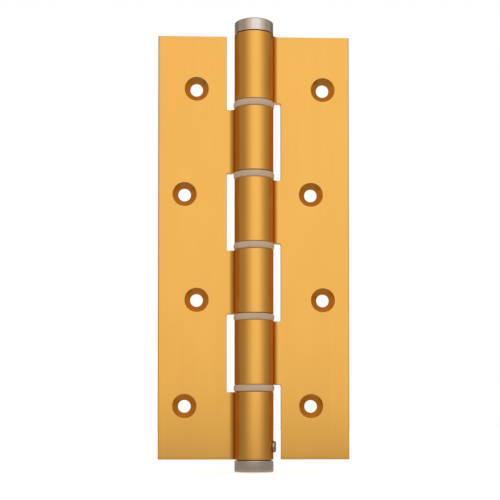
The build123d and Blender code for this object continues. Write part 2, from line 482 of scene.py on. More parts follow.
def run(xs, zs, inset, depth=EDGE):
    """Part of a path, with one inset and one depth for all its points."""
    points = np.stack(np.broadcast_arrays(np.asarray(xs, float), np.asarray(zs, float)), 1)
    return points, np.tile(np.array(inset, float), (len(points), 1)), np.full(len(points), depth)


def corner_run(level, inward):
    """The rounded corner of a notch as part of a path, its insets pointing away from the arc's centre."""
    points = notch_corner(level, inward, NOTCH_ROUND)
    centre = np.array([CUT_LINE, level - inward * NOTCH_ROUND])
    return points, (points - centre) / NOTCH_ROUND * EDGE, np.full(len(points), EDGE)


def wall_run(heights, low, high):
    """The straight wall of a notch between two heights."""
    own = heights[(heights >= low - 1e-6) & (heights <= high + 1e-6)]
    return run(np.full(len(own), NOTCH_REACH), own, (EDGE, 0))


def joined(*runs):
    """Several parts of a path as one."""
    return [np.concatenate(parts) for parts in zip(*runs)]


def backwards(part):
    """A part of a path in the other direction."""
    return tuple(values[::-1] for values in part)


def plate_cuts(across, heights):
    """The three bands of a leaf: round the plate's edge, and along the walls of its two closed notches."""
    top = np.concatenate([[CUT_LINE], across])
    lowest = knuckle_span(FRAME_KNUCKLES[-1])[0]
    around = joined(
        run(top, np.full(len(top), LEAF_TOP), (0, -EDGE)),
        run([LEAF_REACH], [LEAF_TOP], (-OUTER_ROUND, -EDGE), OUTER_ROUND),
        run(np.full(len(heights), LEAF_REACH), heights[::-1], (-OUTER_ROUND, 0), OUTER_ROUND),
        run([LEAF_REACH], [-LEAF_TOP], (-OUTER_ROUND, EDGE), OUTER_ROUND),
        run(across[::-1], np.full(len(across), -LEAF_TOP), (0, EDGE)),
        run([NOTCH_REACH], [-LEAF_TOP], (EDGE, EDGE)),
        wall_run(heights, -LEAF_TOP + EDGE, lowest - NOTCH_ROUND),
        backwards(corner_run(lowest, 1)),
    )
    bands = [edge_band(*around)]
    for above, below in zip(FRAME_KNUCKLES, FRAME_KNUCKLES[1:]):
        ceiling, ground = knuckle_span(above)[0], knuckle_span(below)[1]
        bands.append(edge_band(*joined(
            corner_run(ground, -1),
            wall_run(heights, ground + NOTCH_ROUND, ceiling - NOTCH_ROUND),
            backwards(corner_run(ceiling, 1)),
        )))
    return bands


def fan(level, inward, depth):
    """Faces between a notch's rounded corner and the corner of the lattice, at one depth."""
    rim = notch_corner(level, inward, NOTCH_ROUND + EDGE)
    tip = np.array([[NOTCH_REACH + EDGE, level + inward * EDGE]])
    points = np.concatenate([tip, rim])
    first = np.arange(1, len(rim))
    faces = np.stack([np.zeros_like(first), first, first + 1], 1)
    return plain(place(points[:, 0], depth, points[:, 1]), faces)


def screw_hole(column, height, turn):
    """Turned surface of one countersunk hole: radius and depth pairs carried round its axis."""
    slope = COUNTERSINK - SCREW_HOLE
    profile = np.array([
        (COUNTERSINK + 0.13, LEAF_FRONT), (COUNTERSINK + 0.04, LEAF_FRONT + 0.015),
        (COUNTERSINK - 0.05, LEAF_FRONT + 0.07), (SCREW_HOLE + 0.04, LEAF_FRONT + slope - 0.03),
        (SCREW_HOLE, LEAF_FRONT + slope + 0.02), (SCREW_HOLE, LEAF_BACK - 0.12),
        (SCREW_HOLE + 0.04, LEAF_BACK - 0.03), (SCREW_HOLE + 0.13, LEAF_BACK),
    ])
    radius, depth = profile[:, None, 0], profile[:, None, 1]
    points = place(column + radius * np.cos(turn), depth, height + radius * np.sin(turn))
    # Rows 2 and 3, the cone, are marked for painted shade.
    return patch(points, [1, -2], [2, 3])


def plate(across, heights):
    """Front, back, screw holes and cut edges of the plate."""
    patches = plate_cuts(across, heights)
    for depth, radius in ((LEAF_FRONT, COUNTERSINK + 0.13), (LEAF_BACK, SCREW_HOLE + 0.13)):
        holes = [
            (column, height, radius, HOLE_BLOCK, HOLE_BLOCK, None)
            for column, height in zip(SCREW_COLUMNS, SCREW_HEIGHTS)
        ]
        found, rims = sheet(across, heights, holes)
        patches += [plain(place(points[:, 0], depth, points[:, 1]), quads) for points, quads in found]
        for number in FRAME_KNUCKLES:
            lower, upper = knuckle_span(number)
            own = heights[(heights > lower) & (heights < upper)]
            strip = place(np.array([[CUT_LINE], [NOTCH_REACH + EDGE]]), depth, own[None])
            patches.append(patch(strip))
            patches.append(fan(lower, 1, depth))
            if number > 1:
                patches.append(fan(upper, -1, depth))
    patches += [screw_hole(*place_of) for place_of in zip(SCREW_COLUMNS, SCREW_HEIGHTS, rims)]
    return patches


# %% Both leaves


def leaf_patches(bore, pin):
    """All patches of the leaf on +X, whose first knuckle is at the top."""
    across, heights = plate_lines()
    patches = plate(across, heights)
    for number in FRAME_KNUCKLES:
        patches += knuckle(number, heights, bore, pin if number == 1 else None)
    return patches


def half_turn(patches):
    """Patches turned half a turn about Y, which makes the frame leaf into the door leaf."""
    return [(points * np.array([-1, 1, -1]), faces, broken) for points, faces, broken in patches]


ANCHOR_PIN = (90.0 - 360, PIN_LEVEL, 1.5)
STOP_PIN = (-12.0, -PIN_LEVEL, 1.55)
frame_leaf = make_piece("gold_leaf_frame", leaf_patches(FRAME_BORE, ANCHOR_PIN))
flipped_stop_pin = (-180.0 - STOP_PIN[0], PIN_LEVEL, STOP_PIN[2])
door_leaf = make_piece("gold_leaf_door", half_turn(leaf_patches(DOOR_BORE, flipped_stop_pin)))
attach(frame_leaf, "frame_side")
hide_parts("frame_leaf")
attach(door_leaf, "door_side")
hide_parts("door_leaf")
print("leaves stand for frame_leaf and door_leaf")

# %% [markdown]
# ## Turned pieces
#
# Washers, caps, pins and the spindle are turned on a lathe, so each is a profile carried once
# round an axis. A profile that starts and ends on the axis closes itself.

# %% Turned helpers
TURN_STEPS = 96


def turned(profile, edge_rows=(), painted_shade_rows=()):
    """Radius and height pairs carried round the pivot axis: x and y are the radius times cosine and sine."""
    turn = np.linspace(0, 2 * math.pi, TURN_STEPS + 1)
    radius, height = np.array(profile, float)[:, None, 0], np.array(profile, float)[:, None, 1]
    return patch(place(radius * np.cos(turn), radius * np.sin(turn), height), edge_rows, painted_shade_rows)


def turned_across(profile, angle, level, edge_rows=(), painted_shade_rows=()):
    """Distance and radius pairs carried round a line that leaves the pivot axis at that angle and level."""
    points, faces, broken = turned([(radius, along) for along, radius in profile], edge_rows, painted_shade_rows)
    lean = math.radians(angle)
    along, across, height = points[:, 2], points[:, 1], points[:, 0]
    x = along * math.cos(lean) - across * math.sin(lean)
    y = along * math.sin(lean) + across * math.cos(lean)
    return place(x, y, level + height), faces, broken


def finish_piece(piece, body, node):
    """Lets a piece move with its body and stand for its CAD node."""
    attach(piece, body)
    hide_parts(node)
    return piece


# %% [markdown]
# ## Nylon washers
#
# A washer between two knuckles carries the weight of the door and keeps metal off metal. The
# moulded rim is round and stands a little proud of the barrel, where it catches the light.
# The rim's profile is a corner arc, a slight crown and a second arc.

# %% Washers
washers = []
for number in range(1, KNUCKLES):
    low, high = corners(f"washer_{number}")
    rim = 0.95
    crown = 0.06
    bore = DOOR_BORE
    reach = high[1] - crown
    upper = arc((reach - rim, high[2] - rim), rim, 90, 0, 6)
    lower = arc((reach - rim, low[2] + rim), rim, 0, -90, 6)
    middle = [(high[1], (low[2] + high[2]) / 2)]
    profile = np.concatenate([
        [(bore, low[2] + EDGE), (bore, high[2] - EDGE), (bore + EDGE, high[2])],
        upper, middle, lower, [(bore + EDGE, low[2]), (bore, low[2] + EDGE)],
    ])
    washer = make_piece(f"nylon_washer_{number}", [turned(profile)])
    washers.append(finish_piece(washer, "frame_side", f"washer_{number}"))
print(len(washers), "washers")

# %% [markdown]
# ## End caps
#
# Each cap is turned with its spigot in one piece. The upper one is pinned in its knuckle. The
# lower one is the adjuster: a hexagon key in the socket of its end turns it, and the stop pin
# then drops into the nearest of the six holes in its spigot. The cap sits on a narrower
# shoulder, so a thin groove shows between its rim and the barrel, and that groove is painted
# near black as painted shade.

# %% Caps
CAP_END = corners("top_plug")[1][2]
SPIGOT_END = corners("top_plug")[0][2]
CAP = 8.25
CAP_CHAMFER = 0.5
SPINDLE_BORE = 2.5
HEAD_RECESS = 3.8
RECESS_FLOOR = 93.9
SOCKET_FLATS = 8.0
SOCKET_FLOOR = 89.2
SEAT_GROOVE = 0.35
SEAT_DEPTH = 0.8
PIN_HOLE_DEPTH = 2.1
SIXTH = 60


def round_mouth(turn):
    """Distance from the axis to the wall of the spindle head's recess: the same all round."""
    return np.full_like(turn, HEAD_RECESS)


def hexagon_mouth(turn):
    """Distance to a hexagon's side: half its width over the cosine of the angle from the side's middle."""
    return SOCKET_FLATS / 2 / np.cos(turn % (math.pi / 3) - math.pi / 6)


def mouth_patch(mouth, floor):
    """Recess in the cap's end: floor, wall, broken edge and the flat round it, in rows of equal height."""
    turn = np.linspace(0, 2 * math.pi, TURN_STEPS + 1)
    wall, bore = mouth(turn), np.full_like(turn, SPINDLE_BORE)
    radius = np.stack([bore, bore, wall, wall, wall + EDGE, np.full_like(turn, END_FLAT)])
    height = np.array([SPIGOT_END + EDGE, floor, floor, CAP_END - EDGE, CAP_END, CAP_END])[:, None]
    return patch(place(radius * np.cos(turn), radius * np.sin(turn), height), [4])


END_FLAT = 5.6
END_PROFILE = [
    (END_FLAT, CAP_END), (CAP - CAP_CHAMFER - 0.1, CAP_END), (CAP - CAP_CHAMFER + 0.03, CAP_END - 0.06),
    (CAP - 0.06, CAP_END - CAP_CHAMFER + 0.03), (CAP, CAP_END - CAP_CHAMFER - 0.1),
    (CAP, CAP_END - CAP_CHAMFER - 0.25), (CAP, LEAF_TOP + SEAT_GROOVE + 0.2),
    (CAP, LEAF_TOP + SEAT_GROOVE + 0.06), (CAP - 0.06, LEAF_TOP + SEAT_GROOVE),
    (CAP - SEAT_DEPTH, LEAF_TOP + SEAT_GROOVE), (CAP - SEAT_DEPTH, LEAF_TOP), (FRAME_BORE, LEAF_TOP),
]
TIP_PROFILE = [
    (FRAME_BORE, SPIGOT_END + EDGE), (FRAME_BORE - EDGE, SPIGOT_END), (SPINDLE_BORE + EDGE, SPIGOT_END),
    (SPINDLE_BORE, SPIGOT_END + EDGE),
]


def cap_patches(mouth, floor, holes):
    """All patches of the cap at the top of the barrel. Its blind holes are (angle, level, radius)."""
    step = 360 / TURN_STEPS
    seam = round((holes[0][0] + SIXTH / 2) / step) * step
    holes = [(seam - (seam - angle) % 360, level, hole) for angle, level, hole in holes]
    heights = lines(SPIGOT_END + EDGE, PIN_LEVEL - PIN_BLOCK, PIN_LEVEL + PIN_BLOCK, LEAF_TOP, step=0.9)
    wall, rims = round_sheet(FRAME_BORE, seam, seam - 360, TURN_STEPS, heights, holes)
    blind = [blind_hole(hole, rim, FRAME_BORE, FRAME_BORE - PIN_HOLE_DEPTH) for hole, rim in zip(holes, rims)]
    # Rows 9 and 10, the seat groove, are marked for painted shade.
    rim = turned(END_PROFILE, [2, 3], [9, 10])
    return [mouth_patch(mouth, floor), rim, turned(TIP_PROFILE), *wall, *blind]


def blind_hole(hole, rim, surface, bottom):
    """Wall and flat bottom of a blind radial hole that starts at a round surface."""
    rows = [
        radial_points(hole, rim, hole[2], surface), radial_points(hole, rim, hole[2] - 0.06, surface, 0.06),
        radial_points(hole, rim, hole[2] - 0.06, 0, bottom), radial_points(hole, rim, 0, 0, bottom),
    ]
    return patch(np.stack(rows), [1])


stop_holes = [(180 - STOP_PIN[0] - SIXTH * index, PIN_LEVEL, STOP_PIN[2]) for index in range(6)]
top_cap = make_piece("nickel_cap_top", cap_patches(round_mouth, RECESS_FLOOR, [ANCHOR_PIN]))
low_cap = make_piece("nickel_cap_adjuster", half_turn(cap_patches(hexagon_mouth, SOCKET_FLOOR, stop_holes)))
finish_piece(top_cap, "frame_side", "top_plug")
finish_piece(low_cap, "door_side", "tension_adjuster")

# %% [markdown]
# ## Pins and spindle
#
# The stop pin has a button head that the fingers can pull; the chamfer and face at its end
# are painted dark as painted shade. The anchor pin is plain and lies just below the surface
# at the back of the first knuckle. The spindle's two ends are riveted over, which leaves a
# slightly domed head in the recess of each cap.

# %% Pins and spindle
PIN = 1.5
PIN_TIP = FRAME_BORE - 2.0
STOP_HEAD = 2.5
STOP_HEAD_END = BARREL + 1.0
stop_profile = [
    (PIN_TIP, 0), (PIN_TIP, PIN - 0.2), (PIN_TIP + 0.2, PIN), (BARREL, PIN), (BARREL, STOP_HEAD - 0.1),
    (BARREL + 0.1, STOP_HEAD), (STOP_HEAD_END - 0.35, STOP_HEAD), (STOP_HEAD_END - 0.26, STOP_HEAD - 0.03),
    (STOP_HEAD_END - 0.04, STOP_HEAD - 0.25), (STOP_HEAD_END, STOP_HEAD - 0.36), (STOP_HEAD_END, 0),
]
# Rows 8 to 10, the head's end chamfer and face, are marked for painted shade.
stop_surface = turned_across(stop_profile, STOP_PIN[0], STOP_PIN[1], [], [8, 9, 10])
stop_pin = make_piece("steel_stop_pin", [stop_surface])
finish_piece(stop_pin, "stop_pin", "stop_pin")

ANCHOR_END = BARREL - 0.15
anchor_profile = [
    (PIN_TIP, 0), (PIN_TIP, PIN - 0.2), (PIN_TIP + 0.2, PIN), (ANCHOR_END - 0.3, PIN),
    (ANCHOR_END - 0.1, PIN - 0.12), (ANCHOR_END, PIN - 0.45), (ANCHOR_END, 0),
]
anchor_pin = make_piece("steel_anchor_pin", [turned_across(anchor_profile, 90, PIN_LEVEL, [4])])
finish_piece(anchor_pin, "frame_side", "anchor_pin")

SPINDLE = 2.4
HEAD = 3.7


def riveted_head(end):
    """Profile of a slightly domed head from its middle, at the height of its outer end, to the shank."""
    return [
        (0, end), (HEAD * 0.45, end - 0.02), (HEAD * 0.75, end - 0.1), (HEAD - 0.2, end - 0.27),
        (HEAD, end - 0.6), (HEAD, end - 1.5), (SPINDLE, end - 1.5),
    ]


low, high = corners("spindle")
lower_head = [(radius, -height) for radius, height in riveted_head(-low[2])[::-1]]
spindle_profile = riveted_head(high[2]) + lower_head
spindle = make_piece("steel_spindle", [turned(spindle_profile, [3, -4])])
finish_piece(spindle, "frame_side", "spindle")

# %% [markdown]
# ## The torsion spring
#
# Flat wire is wound on edge into 26 turns, and its two ends stand straight in slots of the
# caps. The CAD spring has flat faces to stay light. Here the section of the wire, with round
# corners, is carried along a true helix. When the door turns, the lower end of the spring
# turns with it and the upper end stays. This coil is one still piece, in neither body.

# %% Torsion spring
WIRE_WIDTH = 1.4
WIRE_HEIGHT = 3.6
WIRE_ROUND = 0.3
SPRING_RADIUS = 3.95
SPRING_TURNS = 26 + 150 / 360
SPRING_END = 74.9
STEPS_PER_TURN = 48
LOWER_TANG = 3.0
UPPER_TANG = 153.0
TANG_WIDTH = 1.8
TANG_REACH = 81.0


def rounded_section(width, height, radius, steps=3):
    """A rectangle with rounded corners, once round: four quarter arcs about the four corner centres."""
    across, up = width / 2 - radius, height / 2 - radius
    centres = ((across, up, 0), (-across, up, 90), (-across, -up, 180), (across, -up, 270))
    loop = np.concatenate([arc((x, y), radius, start, start + 90, steps) for x, y, start in centres])
    return np.concatenate([loop, loop[:1]])


def capped(rows):
    """Rows of loops closed at both ends by a point in the middle of the end loop."""
    first = np.repeat(rows[:1].mean(1, keepdims=True), rows.shape[1], 1)
    last = np.repeat(rows[-1:].mean(1, keepdims=True), rows.shape[1], 1)
    return np.concatenate([first, rows, last])


def coil():
    """The wire along a helix: the section's x adds to the radius, its y to the height."""
    section = rounded_section(WIRE_WIDTH, WIRE_HEIGHT, WIRE_ROUND)
    share = np.linspace(0, 1, round(SPRING_TURNS * STEPS_PER_TURN) + 1)[:, None]
    turn = math.radians(LOWER_TANG) + share * SPRING_TURNS * 2 * math.pi
    radius = SPRING_RADIUS + section[None, :, 0]
    height = SPRING_END * (2 * share - 1) + section[None, :, 1]
    return patch(capped(place(radius * np.cos(turn), radius * np.sin(turn), height)))


def tang(angle, side):
    """Straight end of the wire, standing along the axis at that angle, at the lower (-1) or upper (1) end."""
    heights = np.array([SPRING_END - WIRE_HEIGHT / 2 + 0.2, TANG_REACH - 0.2, TANG_REACH])[:, None] * side
    inset = np.array([1.0, 1.0, 0.8])[:, None]
    section = rounded_section(WIRE_WIDTH - 0.1, TANG_WIDTH, WIRE_ROUND)
    radius, across = SPRING_RADIUS + section[None, :, 0] * inset, section[None, :, 1] * inset
    lean = math.radians(angle)
    x = radius * math.cos(lean) - across * math.sin(lean)
    y = radius * math.sin(lean) + across * math.cos(lean)
    return patch(capped(place(x, y, heights)))


spring = make_piece("torsion_spring_wire", [coil(), tang(LOWER_TANG, -1), tang(UPPER_TANG, 1)])
spring.modifiers.clear()
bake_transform(spring)
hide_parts("torsion_spring")
print(f"spring: {SPRING_TURNS:.2f} turns, wire {WIRE_WIDTH} by {WIRE_HEIGHT}")

# %% [markdown]
# ## Shared effects
#
# Four effects appear in more than one finish, so each is a node group: the fine grain of a
# blasted surface with the long lines that the extrusion die draws, the rings that a lathe
# leaves, the wear of a broken edge with a second mask that paints shade into grooves and cut
# faces, and the marks of handling. Each reads the piece's own coordinates in metres, so a
# scale of 1000 means features about a millimetre apart.

# %% Node group helpers


def new_group(name, inputs, outputs):
    """An empty shader node group with float inputs and outputs, and its two end nodes."""
    group = bpy.data.node_groups.new(name, "ShaderNodeTree")
    for label, value in inputs.items():
        socket = group.interface.new_socket(label, in_out="INPUT", socket_type="NodeSocketFloat")
        socket.default_value = value
    for label in outputs:
        group.interface.new_socket(label, in_out="OUTPUT", socket_type="NodeSocketFloat")
    return group, group.nodes.new("NodeGroupInput"), group.nodes.new("NodeGroupOutput")


def connect(tree, *pairs):
    """Links sockets in pairs, from an output to an input."""
    for start, end in pairs:
        tree.links.new(start, end)


def math_node(tree, operation, first, second, clamp=False):
    """A Math node. Its two values are numbers or sockets."""
    node = tree.nodes.new("ShaderNodeMath")
    node.operation = operation
    node.use_clamp = clamp
    for socket, value in zip(node.inputs, (first, second)):
        if isinstance(value, (int, float)):
            socket.default_value = value
        else:
            tree.links.new(value, socket)
    return node.outputs[0]


def stretched_noise(tree, scale, stretch, detail=2.0, roughness=0.5):
    """Noise on the piece's own coordinates, with its own scale along x, y and z."""
    coordinates = tree.nodes.new("ShaderNodeTexCoord")
    mapping = tree.nodes.new("ShaderNodeMapping")
    mapping.inputs["Scale"].default_value = stretch
    noise = tree.nodes.new("ShaderNodeTexNoise")
    noise.inputs["Detail"].default_value = detail
    noise.inputs["Roughness"].default_value = roughness
    if isinstance(scale, (int, float)):
        noise.inputs["Scale"].default_value = scale
    else:
        tree.links.new(scale, noise.inputs["Scale"])
    connect(tree, (coordinates.outputs["Object"], mapping.inputs["Vector"]),
            (mapping.outputs["Vector"], noise.inputs["Vector"]))
    return noise.outputs["Fac"]


# %% Grain, turning rings, edge wear and handling
grain_outputs = ["Height", "Clouds", "Lines"]
grain_group, grain_in, grain_out = new_group("blasted_grain", {"Fineness": 2200.0}, grain_outputs)
fine = stretched_noise(grain_group, grain_in.outputs["Fineness"], (1, 1, 0.55), 3.0, 0.65)
clouds = stretched_noise(grain_group, 90.0, (1, 1, 0.4), 3.0, 0.6)
drawn = stretched_noise(grain_group, 1500.0, (1, 1, 0.006), 2.0, 0.6)
connect(grain_group, (fine, grain_out.inputs["Height"]), (clouds, grain_out.inputs["Clouds"]),
        (drawn, grain_out.inputs["Lines"]))

rings_group, rings_in, rings_out = new_group("turning_rings", {"Fineness": 4000.0}, ["Height", "Streaks"])
rings = stretched_noise(rings_group, rings_in.outputs["Fineness"], (0.02, 0.02, 1), 2.0, 0.6)
streaks = stretched_noise(rings_group, 700.0, (0.15, 0.15, 1), 2.0, 0.5)
connect(rings_group, (rings, rings_out.inputs["Height"]), (streaks, rings_out.inputs["Streaks"]))

# Its first output is the wear of broken edges. Its second, from the marks of 3, is a mask of painted shade
# for grooves, countersinks and the stop pin's end.
wear_and_shade_group, wear_in, wear_out = new_group("edge_wear_and_shade", {"Amount": 0.6}, ["Mask", "Painted Shade"])
edge_attribute = wear_and_shade_group.nodes.new("ShaderNodeAttribute")
edge_attribute.attribute_name = "wear_and_shade_marks"
patchy = stretched_noise(wear_and_shade_group, 420.0, (1, 1, 1), 3.0, 0.7)
uneven = math_node(wear_and_shade_group, "MULTIPLY_ADD", patchy, 1.2)
uneven.node.inputs[2].default_value = 0.15
worn = math_node(wear_and_shade_group, "MULTIPLY", edge_attribute.outputs["Fac"], uneven, clamp=True)
deep = math_node(wear_and_shade_group, "SUBTRACT", edge_attribute.outputs["Fac"], 1.2, clamp=True)
worn = math_node(wear_and_shade_group, "SUBTRACT", worn, deep, clamp=True)
worn = math_node(wear_and_shade_group, "MULTIPLY", worn, wear_in.outputs["Amount"])
connect(wear_and_shade_group, (worn, wear_out.inputs["Mask"]), (deep, wear_out.inputs["Painted Shade"]))

marks_group, marks_in, marks_out = new_group("handling_marks", {"Amount": 0.06}, ["Change"])
smears = stretched_noise(marks_group, 55.0, (1, 1, 0.7), 4.0, 0.55)
centred = math_node(marks_group, "SUBTRACT", smears, 0.5)
change = math_node(marks_group, "MULTIPLY", centred, marks_in.outputs["Amount"])
connect(marks_group, (change, marks_out.inputs["Change"]))
print("node groups:", [group.name for group in bpy.data.node_groups])

# %% [markdown]
# ## Finishes
#
# Gold anodising is a dyed clear oxide on bare aluminium. The metal under it was etched or
# blasted, so it shines softly, without sharp reflections. A rough metal with a fine bump
# gives that, with a thin clear coat for the oxide and a deeper colour where the surface is
# seen at a slant. Broken edges are paler, and the countersinks a little deeper, as painted
# shade. Nylon is a dull plastic that lets a little light through. The caps are nickel on
# turned steel, bright enough to mirror the studio, with painted shade in the groove at each
# cap's seat. The pins are plain steel, painted darker at their rims and at the stop pin's
# end, which is painted shade.

# %% Finish helpers


def new_finish(name):
    """A material with its node tree, shader and a function that places a group in it."""
    material = bpy.data.materials.new(name)
    material.use_nodes = True
    tree = material.node_tree
    shader = tree.nodes["Principled BSDF"]

    def group(which, **values):
        node = tree.nodes.new("ShaderNodeGroup")
        node.node_tree = which
        for label, value in values.items():
            node.inputs[label].default_value = value
        return node

    return material, tree, shader, group


def mixed_colour(tree, factor, first, second):
    """A colour mix from the first colour to the second. Each is a colour or a socket."""
    mix = tree.nodes.new("ShaderNodeMix")
    mix.data_type = "RGBA"
    tree.links.new(factor, mix.inputs["Factor"])
    for socket, value in ((mix.inputs[6], first), (mix.inputs[7], second)):
        if isinstance(value, tuple):
            socket.default_value = (*value, 1)
        else:
            tree.links.new(value, socket)
    return mix.outputs[2]


def bump(tree, shader, height, strength, distance):
    """A bump from a height, whose depth is distance in metres."""
    node = tree.nodes.new("ShaderNodeBump")
    node.inputs["Strength"].default_value = strength
    node.inputs["Distance"].default_value = distance
    connect(tree, (height, node.inputs["Height"]), (node.outputs["Normal"], shader.inputs["Normal"]))


def dress(piece, material):
    """Gives a piece one material in all its slots."""
    piece.data.materials.clear()
    piece.data.materials.append(material)


# %% Gold anodised aluminium
gold, tree, shader, group = new_finish("gold_anodised")
GOLD_DEEP = (0.80, 0.425, 0.07)
GOLD_LIGHT = (0.98, 0.55, 0.115)
GOLD_EDGE = (0.80, 0.55, 0.26)
# Painted shade: the countersinks' cones take this darker gold.
GOLD_SINK_SHADE = (0.70, 0.37, 0.055)
GOLD_GRAZING = (0.50, 0.25, 0.08)
grain = group(grain_group, Fineness=2600.0)
marks = group(marks_group, Amount=0.10)
wear = group(wear_and_shade_group, Amount=0.45)
texture = math_node(tree, "MULTIPLY_ADD", grain.outputs["Lines"], 0.35)
tree.links.new(math_node(tree, "MULTIPLY", grain.outputs["Clouds"], 0.3), texture.node.inputs[2])
speckled = math_node(tree, "MULTIPLY_ADD", grain.outputs["Height"], 0.35)
tree.links.new(texture, speckled.node.inputs[2])
tone = mixed_colour(tree, speckled, GOLD_DEEP, GOLD_LIGHT)
tone = mixed_colour(tree, wear.outputs["Mask"], tone, GOLD_EDGE)
connect(tree, (mixed_colour(tree, wear.outputs["Painted Shade"], tone, GOLD_SINK_SHADE), shader.inputs["Base Color"]))
connect(tree, (math_node(tree, "ADD", marks.outputs["Change"], 0.30), shader.inputs["Roughness"]))
shader.inputs["Metallic"].default_value = 1.0
shader.inputs["Specular Tint"].default_value = (*GOLD_GRAZING, 1)
shader.inputs["Coat Weight"].default_value = 0.4
shader.inputs["Coat IOR"].default_value = 1.6
shader.inputs["Coat Roughness"].default_value = 0.3
shader.inputs["Coat Tint"].default_value = (1.0, 0.95, 0.82, 1)
bump(tree, shader, grain.outputs["Height"], 0.25, 0.00002)
for leaf in (frame_leaf, door_leaf):
    dress(leaf, gold)

# %% Nylon
nylon, tree, shader, group = new_finish("nylon")
grain = group(grain_group, Fineness=900.0)
marks = group(marks_group, Amount=0.15)
tone = mixed_colour(tree, grain.outputs["Clouds"], (0.58, 0.415, 0.29), (0.69, 0.525, 0.39))
connect(tree, (tone, shader.inputs["Base Color"]))
connect(tree, (math_node(tree, "ADD", marks.outputs["Change"], 0.38), shader.inputs["Roughness"]))
shader.inputs["Subsurface Weight"].default_value = 0.25
shader.inputs["Subsurface Radius"].default_value = (1.0, 0.8, 0.6)
shader.inputs["Subsurface Scale"].default_value = 0.0015
bump(tree, shader, grain.outputs["Height"], 0.15, 0.00002)
for washer in washers:
    dress(washer, nylon)

# %% Nickel plate
nickel, tree, shader, group = new_finish("nickel_plate")
rings = group(rings_group, Fineness=4200.0)
marks = group(marks_group, Amount=0.10)
wear = group(wear_and_shade_group, Amount=0.5)
tone = mixed_colour(tree, rings.outputs["Streaks"], (0.70, 0.66, 0.60), (0.80, 0.76, 0.70))
tone = mixed_colour(tree, wear.outputs["Mask"], tone, (0.52, 0.47, 0.41))
# Painted shade: the seat groove at each cap is near black.
tone = mixed_colour(tree, wear.outputs["Painted Shade"], tone, (0.06, 0.035, 0.015))
connect(tree, (tone, shader.inputs["Base Color"]))
connect(tree, (math_node(tree, "ADD", marks.outputs["Change"], 0.09), shader.inputs["Roughness"]))
shader.inputs["Metallic"].default_value = 1.0
bump(tree, shader, rings.outputs["Height"], 0.2, 0.00001)
for cap in (top_cap, low_cap):
    dress(cap, nickel)

# %% Steel of the pins and the tube
steel, tree, shader, group = new_finish("pin_steel")
rings = group(rings_group, Fineness=3000.0)
marks = group(marks_group, Amount=0.12)
wear = group(wear_and_shade_group, Amount=0.9)
tone = mixed_colour(tree, rings.outputs["Streaks"], (0.62, 0.55, 0.49), (0.74, 0.67, 0.60))
# Painted shade: the broken edges of the anchor pin and the spindle are painted dark brown.
tone = mixed_colour(tree, wear.outputs["Mask"], tone, (0.20, 0.16, 0.13))
# Painted shade: the stop pin's end chamfer and face are nearly black.
tone = mixed_colour(tree, wear.outputs["Painted Shade"], tone, (0.10, 0.075, 0.06))
connect(tree, (tone, shader.inputs["Base Color"]))
connect(tree, (math_node(tree, "ADD", marks.outputs["Change"], 0.22), shader.inputs["Roughness"]))
shader.inputs["Metallic"].default_value = 1.0
bump(tree, shader, rings.outputs["Height"], 0.2, 0.00001)
for piece in (stop_pin, anchor_pin, spindle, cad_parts["pivot_tube"]):
    dress(piece, steel)

# %% Oiled spring steel
spring_steel, tree, shader, group = new_finish("spring_steel")
grain = group(grain_group, Fineness=1800.0)
marks = group(marks_group, Amount=0.2)
tone = mixed_colour(tree, grain.outputs["Clouds"], (0.10, 0.10, 0.11), (0.22, 0.21, 0.20))
connect(tree, (tone, shader.inputs["Base Color"]))
connect(tree, (math_node(tree, "ADD", marks.outputs["Change"], 0.3), shader.inputs["Roughness"]))
shader.inputs["Metallic"].default_value = 1.0
bump(tree, shader, grain.outputs["Height"], 0.2, 0.00001)
dress(spring, spring_steel)
print("finishes:", [material.name for material in bpy.data.materials])

# %% [markdown]
# ## The studio
#
# The photograph has a white background, and the metal mirrors a room that isn't in it. This
# room is a plain guess: a white wall in front, walls that darken towards the back, a roof
# and some floor, in greys of nearly one warm tint. They are cards that only reflections
# see, so they stay out of the picture and put no light on dull surfaces. The world is white
# for the camera and for reflections and softer as a light, and one large lamp shines from
# the front. The room stays nearly colourless on purpose. A yellow one would make the barrel
# look richer, but it would turn the nickel yellow too, and the gold would lose its colour
# in any other light. A metal's colour belongs in the metal.
# The floor right round the hinge is darker in reflections, which is painted shade.

# %% World, floor, cards and lamps
scene = bpy.context.scene
scene.view_settings.view_transform = "Standard"
world = bpy.data.worlds.new("white_studio")
scene.world = world
world.use_nodes = True
tree = world.node_tree
tree.nodes.clear()
path = tree.nodes.new("ShaderNodeLightPath")
seen = tree.nodes.new("ShaderNodeBackground")
lit = tree.nodes.new("ShaderNodeBackground")
seen.inputs["Color"].default_value = (1, 1, 1, 1)
lit.inputs["Color"].default_value = (1, 0.98, 0.95, 1)
lit.inputs["Strength"].default_value = 0.7
direct = math_node(tree, "ADD", path.outputs["Is Camera Ray"], path.outputs["Is Glossy Ray"])
direct = math_node(tree, "ADD", direct, path.outputs["Is Transmission Ray"], clamp=True)
mix = tree.nodes.new("ShaderNodeMixShader")
world_out = tree.nodes.new("ShaderNodeOutputWorld")
connect(tree, (direct, mix.inputs[0]), (lit.outputs[0], mix.inputs[1]), (seen.outputs[0], mix.inputs[2]),
        (mix.outputs[0], world_out.inputs["Surface"]))


